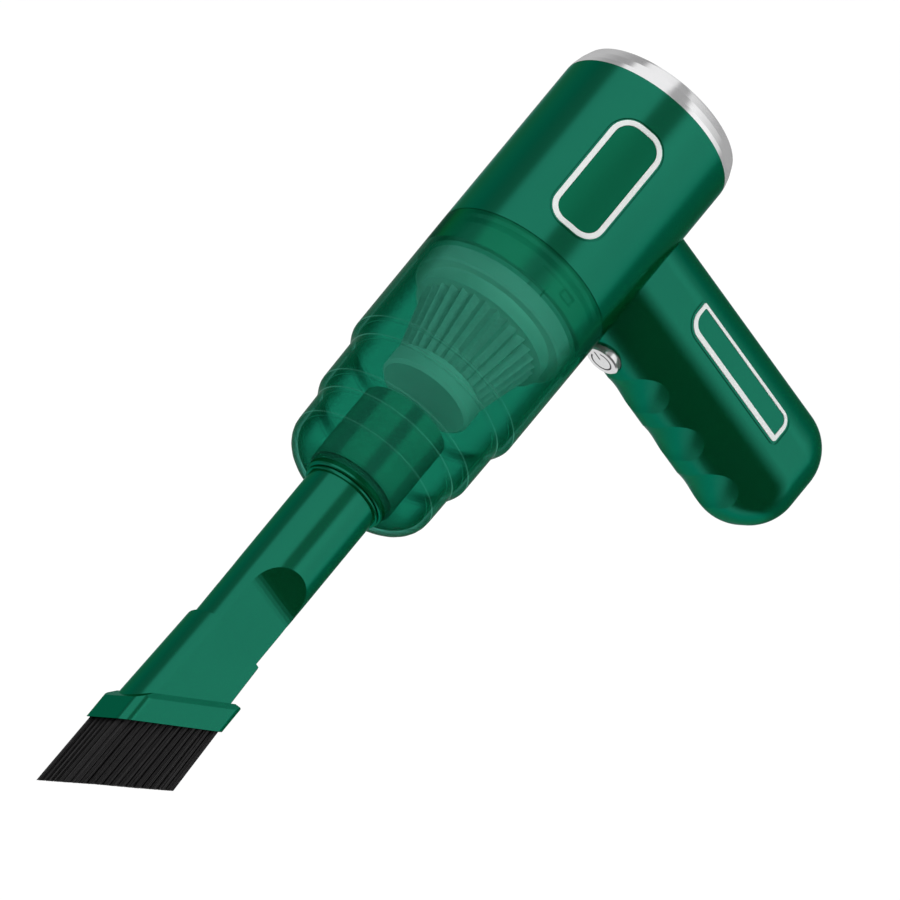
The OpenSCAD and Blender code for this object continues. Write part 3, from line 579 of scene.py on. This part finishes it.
class Palette:
    """Every finish of the vacuum cleaner, made once."""

    def __init__(self) -> None:
        """Makes the materials."""
        green, deep, pale = shade(34, 121, 102), shade(0, 112, 56), shade(176, 226, 210)
        edge = (0.1, 0.5, 0.38)
        self.body = PearlPlastic(
            "green_pearl_plastic", deep, rough=0.17, pearl=green, edge=edge
        ).material()
        self.panel = PearlPlastic(
            "green_panel_plastic", shade(0, 104, 52), rough=0.5, pearl=shade(26, 124, 97), edge=edge
        ).material()
        self.collar = PearlPlastic(
            "pale_green_plastic", shade(156, 208, 192), rough=0.4, pearl=pale, share=0.15, edge=edge
        ).material()
        self.tube = PearlPlastic(
            "pale_green_tube", deep, rough=0.19, pearl=green, edge=edge, rear=pale, rear_x=LIP_X
        ).material()
        self.seal = Fibre("green_silicone", shade(70, 150, 130), rough=0.5, gloss=0.25).material()
        # The clear plastic gets pale highlight stripes painted at its steps
        self.cup = ClearPlastic(
            "clear_green_plastic", shade(8, 92, 64), tint=(0.29, 0.65, 0.57), veil=0.04, rim=0.85,
            painted_highlight_xs=STEP_X, painted_highlight_colour=shade(70, 150, 128),
            band_x=CUP_BAND_X, band_colour=shade(26, 136, 100),
        ).material()
        self.silver = Metal(
            "silver_trim", shade(248, 252, 250), rough=0.42, marks=0.1, bare=0.5
        ).material()
        self.chrome = Metal(
            "chrome_plating", shade(248, 248, 249), rough=0.14, bare=0.85
        ).material()
        self.black = MouldedPlastic("black_plastic", shade(22, 22, 23), rough=0.45).material()
        self.rubber = Fibre(
            "black_seal_rubber", shade(20, 20, 20), rough=0.6, gloss=0.25
        ).material()
        self.steel = Metal("turned_steel", shade(176, 178, 182), rough=0.28).material()
        self.copper = Metal("copper_alloy", shade(196, 132, 92), rough=0.32).material()
        self.wire = MouldedPlastic("red_wire_sleeve", shade(150, 30, 26), rough=0.4).material()
        self.board = MouldedPlastic("green_circuit_board", shade(18, 92, 52), rough=0.4).material()
        self.cell = MouldedPlastic("blue_cell_sleeve", shade(38, 96, 160), rough=0.3).material()
        self.white = MouldedPlastic(
            "white_filter_plastic", shade(236, 236, 230), rough=0.4
        ).material()
        self.paper = Fibre(
            "white_filter_paper", shade(222, 224, 218), rough=0.9, grain=900.0
        ).material()
        self.bristle = Fibre(
            "black_bristle_nylon", shade(30, 29, 30), rough=0.42, grain=700.0, depth=0.05 * MM,
            stretch=(0.1, 1.0, 1.0), gloss=0.4,
        ).material()


@dataclass
class Unit:
    """A sub-assembly whose CAD nodes get finishes.

    Attributes:
        nodes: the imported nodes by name.
        palette: the finishes.
    """

    nodes: Mapping[str, bpy.types.Object]
    palette: Palette

    def paint(self, material: bpy.types.Material, *names: str) -> None:
        """Gives nodes a finish.

        Args:
            material: the finish.
            names: the nodes that get it.
        """
        for name in names:
            mesh = self.nodes[name].data
            mesh.materials.clear()
            mesh.materials.append(material)
            LOG.info("%s: %s", name, material.name)


@dataclass
class Barrel(Unit):
    """The barrel with its ring, grille, panels and collar."""

    def dress(self) -> None:
        """Gives the pieces their finishes."""
        p = self.palette
        self.paint(p.body, "barrel_shell")
        self.paint(p.panel, "barrel_panel_left", "barrel_panel_right")
        self.paint(p.silver, "barrel_trim_left", "barrel_trim_right")
        self.paint(p.chrome, "rear_ring")
        self.paint(p.black, "rear_grille")
        self.paint(p.collar, "front_collar")
        self.paint(p.seal, "cup_seal")


@dataclass
class Motor(Unit):
    """The motor and fan inside the barrel."""

    def dress(self) -> None:
        """Gives the pieces their finishes."""
        p = self.palette
        self.paint(p.steel, "motor_can", "motor_shaft", "barrel_screws")
        self.paint(p.black, "motor_magnets", "motor_end_cap", "motor_mount_front", "fan_shroud")
        self.paint(p.rubber, "motor_mount_rear")
        self.paint(p.copper, "motor_terminals", "motor_armature")
        self.paint(p.wire, "motor_leads")
        self.paint(p.white, "impeller")


@dataclass
class Handle(Unit):
    """The grip with its inlays, button and battery."""

    def dress(self) -> None:
        """Gives the pieces their finishes."""
        p = self.palette
        self.paint(p.body, "handle_shell", "handle_inlay_left", "handle_inlay_right")
        self.paint(p.silver, "handle_trim_left", "handle_trim_right")
        self.paint(p.chrome, "power_button")
        self.paint(p.black, "button_symbol", "button_switch", "handle_bracket", "cell_holder")
        self.paint(p.board, "switch_board", "charge_board")
        self.paint(p.cell, "battery_cells")
        self.paint(p.steel, "cell_links", "charge_socket", "handle_screws")


@dataclass
class DustCup(Unit):
    """The clear cup with its inlet tube and filter."""

    def dress(self) -> None:
        """Gives the pieces their finishes."""
        p = self.palette
        self.paint(p.cup, "dust_cup")
        self.paint(p.tube, "inlet_tube")
        self.nodes["dust_cup"].visible_shadow = False
        self.paint(p.white, "filter_frame", "filter_cap")
        self.paint(p.paper, "filter_pleats")


@dataclass
class Nozzle(Unit):
    """The crevice nozzle, its seal and the sleeve of the brush."""

    def dress(self) -> None:
        """Gives the pieces their finishes."""
        self.paint(self.palette.body, "crevice_nozzle", "brush_sleeve")
        self.paint(self.palette.rubber, "nozzle_seal")


@dataclass
class Brush(Unit):
    """The bristles of the slip-on brush, set in tufts round a slanted backing.

    Attributes:
        width: width of the backing across the nozzle.
        thick: thickness of the backing.
        corner: radius of the backing's corners.
        rim: width of the backing round its opening.
        depth: depth of the backing along the axis.
        recess: how far the backing lies behind the band's edge.
        slant: slant of the front in degrees.
        length: length of the strands in the middle.
        trim: how much longer each metre higher makes them.
        splay: how far the lowest and the highest strands lean out, in degrees.
        strand: radius of a strand at its root.
        tuft: radius of a tuft at the ends.
        per_tuft: strands in a tuft.
        rows: distance from the middle, number and radius of the tufts of each row along a side.
        row_half: half the length of the first row.
        end_z: height of the tufts across the ends.
        end_y: places of the tufts across the ends.
        axis_z: height of the nozzle axis.
        sides: number of a strand's sides.
        taper: parts of a strand, each with its share of the length and how much it narrows.
        stray: how far strands stray from their lean, in radians.
        uneven: how much their lengths differ, as a share.
        corner_steps: number of flats round each of the backing's corners.
        seed: start of the strands' small differences.
    """

    width: float = 32.3 * MM
    thick: float = 19.9 * MM
    corner: float = 3.2 * MM
    rim: float = 3.85 * MM
    depth: float = 1.8 * MM
    recess: float = 0.4 * MM
    slant: float = 39.5
    length: float = 28.5 * MM
    trim: float = 0.11
    splay: tuple[float, float] = (2.2, 0.7)
    strand: float = 0.17 * MM
    tuft: float = 1.1 * MM
    per_tuft: int = 26
    rows: tuple[tuple[float, int, float], ...] = (
        (8.65 * MM, 13, 0.88 * MM),
        (7.0 * MM, 14, 1.1 * MM),
    )
    row_half: float = 13.9 * MM
    end_z: float = 14.85 * MM
    end_y: tuple[float, ...] = (-3.75 * MM, -1.25 * MM, 1.25 * MM, 3.75 * MM)
    axis_z: float = 131.0 * MM
    sides: int = 5
    taper: tuple[tuple[float, float], ...] = ((0.75, 0.94), (0.24, 0.9), (0.01, 0.8))
    stray: float = 0.0015
    uneven: float = 0.003
    corner_steps: int = 6
    seed: int = 7

    @property
    def lean(self) -> float:
        """Returns how far the front moves forward for each metre of height."""
        return math.tan(math.radians(self.slant))

    @property
    def front(self) -> float:
        """Returns the station of the slanted front at the axis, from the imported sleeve."""
        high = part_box("brush_sleeve")[1]
        return high.x - (high.z - self.axis_z) * self.lean

    def build(self) -> bpy.types.Object:
        """Builds the backing and every strand as one piece.

        Returns:
            The piece, in place.
        """
        work = bmesh.new()
        self._backing(work)
        template = self._strand()
        rng = random.Random(self.seed)
        front = self.front
        for y, z, size in self._tufts():
            for i in range(self.per_tuft):
                reach = size * math.sqrt((i + 0.5) / self.per_tuft)
                turn = i * GOLDEN_TURN
                spot = Vector((front, y + reach * math.cos(turn), z + reach * math.sin(turn)))
                self._plant(work, template, spot, rng)
        bpy.data.meshes.remove(template)
        mesh = bpy.data.meshes.new("bristle_block")
        work.to_mesh(mesh)
        work.free()
        piece = bpy.data.objects.new("bristle_block", mesh)
        bpy.context.scene.collection.objects.link(piece)
        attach(piece, Body.BRUSH.value)
        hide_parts("brush_bristles")
        LOG.info("bristle_block: %d faces", len(mesh.polygons))
        return piece

    def dress(self, piece: bpy.types.Object) -> None:
        """Gives the bristles their finish."""
        piece.data.materials.append(self.palette.bristle)

    def _tufts(self) -> list[tuple[float, float, float]]:
        """Returns the places of the tufts on the backing, with their radius."""
        pitch = 2 * self.row_half / (self.rows[0][1] - 1)
        places = [(y, side * self.end_z, self.tuft) for side in (-1, 1) for y in self.end_y]
        for away, count, size in self.rows:
            for side in (-1, 1):
                places += [(side * away, (i - (count - 1) / 2) * pitch, size) for i in range(count)]
        return places

    def _strand(self) -> bpy.types.Mesh:
        """Returns one tapered strand along X from the origin."""
        work = bmesh.new()
        ring = bmesh.ops.create_circle(
            work, cap_ends=True, segments=self.sides, radius=self.strand
        )
        bmesh.ops.rotate(work, verts=ring["verts"], matrix=Matrix.Rotation(math.pi / 2, 3, "Y"))
        faces = work.faces[:]
        for step, size in self.taper:
            faces = bmesh.ops.extrude_discrete_faces(work, faces=faces)["faces"]
            verts = faces[0].verts[:]
            bmesh.ops.translate(work, verts=verts, vec=(step * self.length, 0, 0))
            middle = faces[0].calc_center_median()
            space = Matrix.Translation(-middle)
            bmesh.ops.scale(work, verts=verts, vec=(1, size, size), space=space)
        bmesh.ops.holes_fill(work, edges=[e for e in work.edges if e.is_boundary])
        bmesh.ops.recalc_face_normals(work, faces=work.faces[:])
        mesh = bpy.data.meshes.new("strand")
        work.to_mesh(mesh)
        work.free()
        return mesh

    def _plant(
        self, work: bmesh.types.BMesh, template: bpy.types.Mesh, spot: Vector, rng: random.Random
    ) -> None:
        """Sets one strand in the backing.

        Args:
            work: the mesh that grows.
            template: the strand.
            spot: its place on the front, with its height counted from the axis.
            rng: source of its small differences.
        """
        before = len(work.verts)
        work.from_mesh(template)
        work.verts.ensure_lookup_table()
        lean = math.radians(self.splay[spot.z > 0]) / self.end_z
        pitch = rng.gauss(-lean * spot.z, self.stray)
        yaw = rng.gauss(0.0, self.stray)
        tilt = Matrix.Rotation(pitch, 4, "Y") @ Matrix.Rotation(yaw, 4, "Z")
        twist = Matrix.Rotation(rng.uniform(0, math.tau), 4, "X")
        size = 1 + self.trim * spot.z / self.length - abs(rng.gauss(0, self.uneven))
        root = Vector((spot.x + spot.z * self.lean - self.recess, spot.y, self.axis_z + spot.z))
        change = Matrix.Translation(root) @ tilt @ twist @ Matrix.Scale(size, 4, (1, 0, 0))
        bmesh.ops.transform(work, matrix=change, verts=work.verts[before:])

    def _backing(self, work: bmesh.types.BMesh) -> None:
        """Adds the slanted backing with its opening."""
        shape = Matrix.Diagonal((self.depth, self.thick, self.width, 1))
        bmesh.ops.create_cube(work, size=1, matrix=shape)
        edges = [
            e for e in work.edges if abs((e.verts[0].co - e.verts[1].co).x) > 0.5 * self.depth
        ]
        bmesh.ops.bevel(
            work, geom=edges, offset=self.corner, offset_type="OFFSET",
            segments=self.corner_steps, profile=0.5, affect="EDGES", material=-1,
        )
        ends = [f for f in work.faces if abs(f.normal.x) > 0.9]
        bmesh.ops.inset_individual(work, faces=ends, thickness=self.rim, use_even_offset=True)
        rims = [e for f in ends for e in f.edges]
        bmesh.ops.delete(work, geom=ends, context="FACES_ONLY")
        bmesh.ops.bridge_loops(work, edges=rims)
        bmesh.ops.recalc_face_normals(work, faces=work.faces[:])
        slant = Matrix.Identity(4)
        slant[0][2] = self.lean
        place = Matrix.Translation((self.front - self.recess - self.depth / 2, 0, self.axis_z))
        bmesh.ops.transform(work, matrix=place @ slant, verts=work.verts[:])


@dataclass(frozen=True)
class Softbox:
    """A long soft light beside the object, as gloss shows it.

    Attributes:
        place: its middle round the X axis, in turns from -Y over below, +Y and above.
        half: half the width that is fully bright, in turns.
        edge: width over which it fades out, in turns.
        level: its brightness.
    """

    place: float
    half: float
    edge: float
    level: float

    def share(self, turn: Sock) -> Sock:
        """Shows where the light is.

        Args:
            turn: places round the X axis, in turns.

        Returns:
            1 in the light and 0 outside it.
        """
        away = turn.graph.add(
            "ShaderNodeMath", {"operation": "PINGPONG"}, {0: turn - self.place, 1: 0.5}
        )
        rise = ((self.half + self.edge - away) / self.edge).clamp()
        return rise * rise * (3.0 - 2.0 * rise)


@dataclass(frozen=True)
class Card:
    """A card in front of the softboxes, as gloss shows it.

    Attributes:
        way: its direction.
        level: its brightness.
        outer: cosine of the angle at which its edge begins.
        inner: cosine of the angle inside which it hides what is behind it.
    """

    way: Direction
    level: float
    outer: float
    inner: float

    def share(self, way: Sock) -> Sock:
        """Shows where the card is.

        Args:
            way: directions.

        Returns:
            1 on the card and 0 outside it.
        """
        near = way.graph.add(
            "ShaderNodeVectorMath", {"operation": "DOT_PRODUCT"}, {0: way, 1: self.way}, out="Value"
        )
        return ((near - self.outer) / (self.inner - self.outer)).clamp()


@dataclass(frozen=True)
class Lamp:
    """A large soft lamp that gloss doesn't show.

    Attributes:
        name: its name.
        way: its direction from the object.
        power: its power in watts.
        size: its width.
    """

    name: str
    way: Direction
    power: float
    size: float

    def hang(self, aim: Vector, distance: float) -> None:
        """Hangs the lamp so that it faces the object.

        Args:
            aim: the point that it faces.
            distance: how far from that point it hangs.
        """
        light = bpy.data.lights.new(self.name, "AREA")
        light.energy = self.power
        light.size = self.size
        lamp = bpy.data.objects.new(self.name, light)
        lamp.location = aim + Vector(self.way).normalized() * distance
        lamp.rotation_euler = (lamp.location - aim).to_track_quat("Z", "Y").to_euler()
        lamp.visible_glossy = False
        bpy.context.scene.collection.objects.link(lamp)


@dataclass
class Studio:
    """The floor, the light and the camera at the photograph's angle.

    Attributes:
        aim: the point that the picture's middle shows.
        right: direction of the picture's right side.
        up: direction of the picture's top.
        roll: further turn of the camera about its view, in degrees.
        distance: distance of the camera.
        sight: how far the camera sees.
        field_width: width that the picture covers at the aim.
        floor_z: height of the floor.
        floor_half: half the floor's width.
        floor_grey: grey of the floor where light falls on it.
        floor_glow: level of the floor's own white.
        floor_share: how much of that white the camera sees.
        ambient: level of the light from all round.
        surround: level that gloss shows between the softboxes.
        boxes: the softboxes that gloss shows: low in front, above and behind.
        cards: the cards in front of them.
        lamps: the lamps.
        lamp_distance: distance of the lamps from the aim.
    """

    aim: Vector = field(default_factory=lambda: Vector((-0.0273, -0.0001, 0.1106)))
    right: Vector = field(default_factory=lambda: Vector((-0.5686, 0.629, -0.528)))
    up: Vector = field(default_factory=lambda: Vector((-0.6995, -0.035, 0.713)))
    roll: float = 0.4
    distance: float = 10.0
    sight: float = 100.0
    field_width: float = 0.2946
    floor_z: float = -0.12
    floor_half: float = 30.0
    floor_grey: float = 0.9
    floor_glow: float = 1.08
    floor_share: float = 0.88
    ambient: float = 0.3
    surround: float = 0.28
    boxes: tuple[Softbox, ...] = (
        Softbox(place=0.41, half=0.085, edge=0.035, level=1.0),
        Softbox(place=0.7, half=0.08, edge=0.03, level=0.92),
        Softbox(place=0.0, half=0.04, edge=0.12, level=0.5),
    )
    cards: tuple[Card, ...] = (
        Card((0.6, 0.65, -0.47), level=0.03, outer=0.42, inner=0.8),
        Card((-0.871, -0.152, -0.466), level=0.35, outer=0.62, inner=0.95),
        Card((0.42, -0.55, -0.72), level=0.75, outer=0.8, inner=0.9),
    )
    lamps: tuple[Lamp, ...] = (
        Lamp("key_high", (0.45, 0.56, 0.83), power=5.0, size=0.5),
        Lamp("key_side", (0.2, 0.95, 0.1), power=6.0, size=0.5),
        Lamp("fill_right", (0.3, -0.95, 0.35), power=6.0, size=0.8),
        Lamp("fill_back", (-0.9, 0.2, 0.4), power=3.0, size=0.8),
    )
    lamp_distance: float = 1.3

    def build(self) -> None:
        """Builds the stage."""
        bpy.context.scene.view_settings.view_transform = "Standard"
        self._world()
        self._floor()
        for lamp in self.lamps:
            lamp.hang(self.aim, self.lamp_distance)
        self._camera()

    @staticmethod
    def _background(g: Graph) -> Sock:
        """Returns 1 for rays that show the background: from the camera, gloss and clear plastic."""
        camera = g.add("ShaderNodeLightPath", out="Is Camera Ray")
        rays = camera.socket.node.outputs
        glossy, clear = Sock(g, rays["Is Glossy Ray"]), Sock(g, rays["Is Transmission Ray"])
        return (camera + glossy + clear).clamp()

    def _world(self) -> None:
        """Lights the scene softly; gloss shows the softboxes and the cards in front of them."""
        world = bpy.data.worlds.new("studio")
        bpy.context.scene.world = world
        g = Graph(world)
        way = g.add("ShaderNodeTexCoord", out="Generated")
        parts = g.add("ShaderNodeSeparateXYZ", {}, {"Vector": way})
        y, z = (Sock(g, parts.socket.node.outputs[name]) for name in "YZ")
        turn = g.add("ShaderNodeMath", {"operation": "ARCTAN2"}, {0: z, 1: y}) / math.tau + 0.5
        level: Value = (self.surround,) * 3
        for box in self.boxes:
            level = g.mix(box.share(turn), level, (box.level,) * 3)
        for card in self.cards:
            level = g.mix(card.share(way), level, (card.level,) * 3)
        soft = g.add("ShaderNodeBackground", {}, {"Color": WHITE, "Strength": self.ambient})
        gloss = g.add("ShaderNodeBackground", {}, {"Color": level, "Strength": 1.0})
        white = g.add("ShaderNodeBackground", {}, {"Color": WHITE, "Strength": 1.0})
        camera = g.add("ShaderNodeLightPath", out="Is Camera Ray")
        rays = camera.socket.node.outputs
        glossy = Sock(g, rays["Is Glossy Ray"])
        shown = g.add("ShaderNodeMixShader", {}, {0: glossy, 1: soft, 2: gloss})
        clear = (camera + Sock(g, rays["Is Transmission Ray"])).clamp()
        sky = g.add("ShaderNodeMixShader", {}, {0: clear, 1: shown, 2: white})
        g.end("ShaderNodeOutputWorld", sky)

    def _floor(self) -> None:
        """Lays a pale floor that keeps a soft shadow and is clear from below."""
        work = bmesh.new()
        bmesh.ops.create_grid(work, x_segments=1, y_segments=1, size=self.floor_half)
        bmesh.ops.translate(work, verts=work.verts[:], vec=(0, 0, self.floor_z))
        mesh = bpy.data.meshes.new("floor")
        work.to_mesh(mesh)
        work.free()
        floor = bpy.data.objects.new("floor", mesh)
        bpy.context.scene.collection.objects.link(floor)
        material = bpy.data.materials.new("pale_floor")
        g = Graph(material)
        grey = (self.floor_grey,) * 3 + (1.0,)
        matt = g.add("ShaderNodeBsdfDiffuse", {}, {"Color": grey})
        white = g.add("ShaderNodeEmission", {}, {"Color": WHITE, "Strength": self.floor_glow})
        share = self._background(g) * self.floor_share
        pale = g.add("ShaderNodeMixShader", {}, {0: share, 1: matt, 2: white})
        below = g.add("ShaderNodeNewGeometry", out="Backfacing")
        clear = g.add("ShaderNodeBsdfTransparent")
        g.finish(g.add("ShaderNodeMixShader", {}, {0: below, 1: pale, 2: clear}))
        mesh.materials.append(material)
        floor.visible_glossy = False

    def _camera(self) -> None:
        """Sets the camera far off, with a long lens."""
        turn = math.radians(self.roll)
        right = self.right * math.cos(turn) + self.up * math.sin(turn)
        back = self.right.cross(self.up).normalized()
        up = back.cross(right).normalized()
        right = up.cross(back)
        data = bpy.data.cameras.new("camera")
        data.lens = data.sensor_width * self.distance / self.field_width
        data.clip_end = self.sight
        camera = bpy.data.objects.new("camera", data)
        axes = Matrix((right, up, back)).transposed().to_4x4()
        camera.matrix_world = Matrix.Translation(self.aim + back * self.distance) @ axes
        bpy.context.scene.collection.objects.link(camera)
        bpy.context.scene.camera = camera


def main() -> None:
    """Builds and dresses the part, then the stage."""
    logging.basicConfig(level=logging.INFO, format="%(message)s")
    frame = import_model()
    nodes = frame["nodes"]
    palette = Palette()
    for unit in (Barrel, Motor, Handle, DustCup, Nozzle):
        unit(nodes, palette).dress()
    brush = Brush(nodes, palette)
    brush.dress(brush.build())
    Studio().build()


if __name__ == "__main__":
    main()
